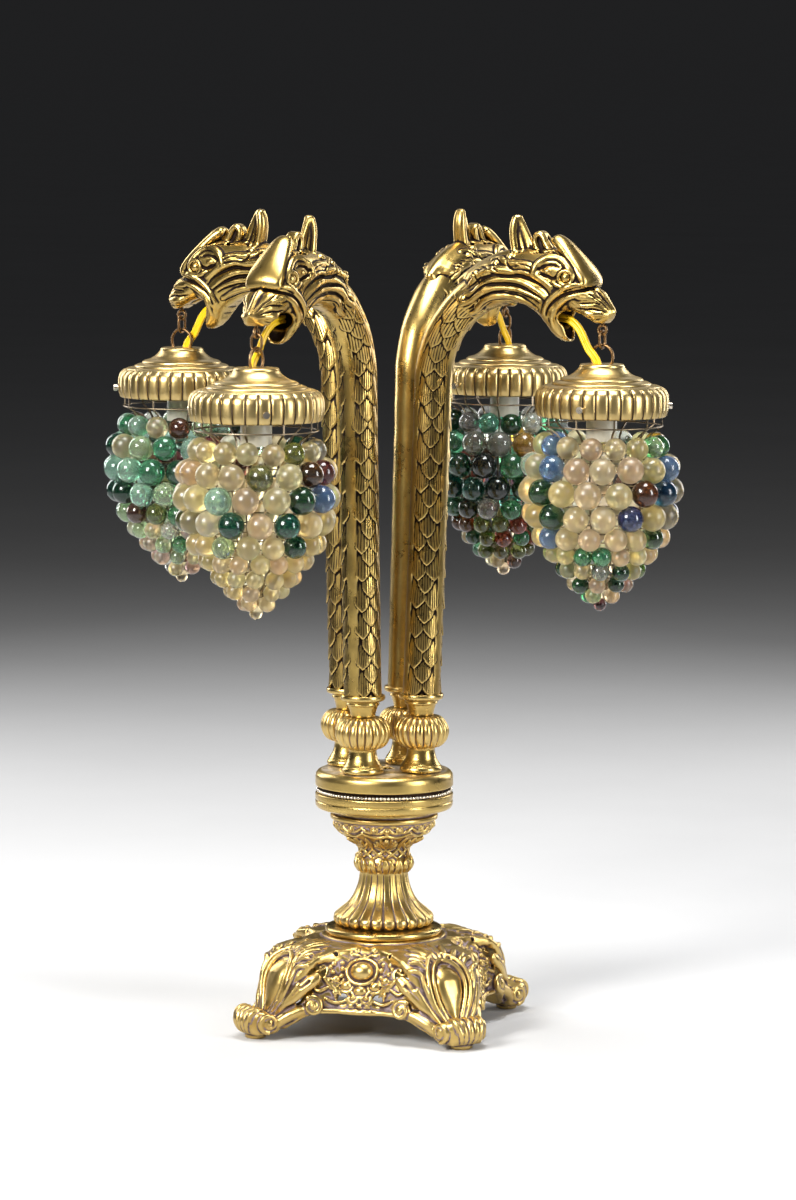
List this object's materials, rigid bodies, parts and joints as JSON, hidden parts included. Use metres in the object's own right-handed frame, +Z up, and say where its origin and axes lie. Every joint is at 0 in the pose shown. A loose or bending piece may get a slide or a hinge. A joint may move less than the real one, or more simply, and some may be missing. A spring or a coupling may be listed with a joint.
{
  "type": "four-arm table lamp",
  "caption": "Cast brass table lamp: pierced footed base, fluted stem and drum, scaled arms ending in horned dragon heads, each hanging a bead-covered wire shade.",
  "frame": {"origin": "middle of the lamp, on the plane its feet rest on", "axes": "+Z up; the arms run along +X, +Y, -X and -Y"},
  "size_m": [0.4898, 0.4898, 0.616],
  "materials": {
    "cast_brass": "aged, dark in the hollows",
    "spun_brass": "satin, worn bright on the edges",
    "bead_brass": "worn, silvery",
    "copper_wire": "brown patina",
    "cage_wire": "dull",
    "white_plastic": "satin",
    "yellow_pvc": "satin",
    "glass_beads": "frosted and clear, mixed colours",
    "steel_rod": "plated"
  },
  "bodies": {
    "stand": {"base_casting": "cast_brass", "base_ring": "spun_brass", "trumpet_stem": "cast_brass", "stem_bowl": "cast_brass", "drum_body": "spun_brass", "bead_band": "bead_brass", "drum_cover": "spun_brass", "tie_tube": "steel_rod", "tie_nuts": "steel_rod", "arm_feet": "spun_brass", "arm_knops": "cast_brass", "arm_cups": "spun_brass", "jaw_eyes": "copper_wire", "arm_1": "cast_brass", "arm_2": "cast_brass", "arm_3": "cast_brass", "arm_4": "cast_brass", "head_1": "cast_brass", "head_2": "cast_brass", "head_3": "cast_brass", "head_4": "cast_brass", "flex_1": "yellow_pvc", "flex_2": "yellow_pvc", "flex_3": "yellow_pvc", "flex_4": "yellow_pvc"},
    "link_1_body": {"link_1": "copper_wire"},
    "shade_1": {"cap_1": "spun_brass", "gallery_1": "spun_brass", "cap_ring_1": "copper_wire", "holder_1": "white_plastic", "cage_1": "cage_wire", "beads_1": "glass_beads", "cap_screws_1": "bead_brass"},
    "link_2_body": {"link_2": "copper_wire"},
    "shade_2": {"cap_2": "spun_brass", "gallery_2": "spun_brass", "cap_ring_2": "copper_wire", "holder_2": "white_plastic", "cage_2": "cage_wire", "beads_2": "glass_beads", "cap_screws_2": "bead_brass"},
    "link_3_body": {"link_3": "copper_wire"},
    "shade_3": {"cap_3": "spun_brass", "gallery_3": "spun_brass", "cap_ring_3": "copper_wire", "holder_3": "white_plastic", "cage_3": "cage_wire", "beads_3": "glass_beads", "cap_screws_3": "bead_brass"},
    "link_4_body": {"link_4": "copper_wire"},
    "shade_4": {"cap_4": "spun_brass", "gallery_4": "spun_brass", "cap_ring_4": "copper_wire", "holder_4": "white_plastic", "cage_4": "cage_wire", "beads_4": "glass_beads", "cap_screws_4": "bead_brass"}
  },
  "joints": [
    {"name": "link_swing_1", "type": "hinge", "parent": "stand", "child": "link_1_body", "pos_m": [0.183, 0, 0.53], "axis": [1, 0, 0], "range_deg": [-22, 22], "deforming": ["flex_1"]},
    {"name": "shade_swing_1", "type": "hinge", "parent": "link_1_body", "child": "shade_1", "pos_m": [0.183, 0, 0.52], "axis": [0, -1, 0], "range_deg": [-18, 26], "deforming": ["flex_1"]},
    {"name": "link_swing_2", "type": "hinge", "parent": "stand", "child": "link_2_body", "pos_m": [0, 0.183, 0.53], "axis": [0, 1, 0], "range_deg": [-22, 22], "deforming": ["flex_2"]},
    {"name": "shade_swing_2", "type": "hinge", "parent": "link_2_body", "child": "shade_2", "pos_m": [0, 0.183, 0.52], "axis": [1, 0, 0], "range_deg": [-18, 26], "deforming": ["flex_2"]},
    {"name": "link_swing_3", "type": "hinge", "parent": "stand", "child": "link_3_body", "pos_m": [-0.183, 0, 0.53], "axis": [-1, 0, 0], "range_deg": [-22, 22], "deforming": ["flex_3"]},
    {"name": "shade_swing_3", "type": "hinge", "parent": "link_3_body", "child": "shade_3", "pos_m": [-0.183, 0, 0.52], "axis": [0, 1, 0], "range_deg": [-18, 26], "deforming": ["flex_3"]},
    {"name": "link_swing_4", "type": "hinge", "parent": "stand", "child": "link_4_body", "pos_m": [0, -0.183, 0.53], "axis": [0, -1, 0], "range_deg": [-22, 22], "deforming": ["flex_4"]},
    {"name": "shade_swing_4", "type": "hinge", "parent": "link_4_body", "child": "shade_4", "pos_m": [0, -0.183, 0.52], "axis": [-1, 0, 0], "range_deg": [-18, 26], "deforming": ["flex_4"]}
  ]
}
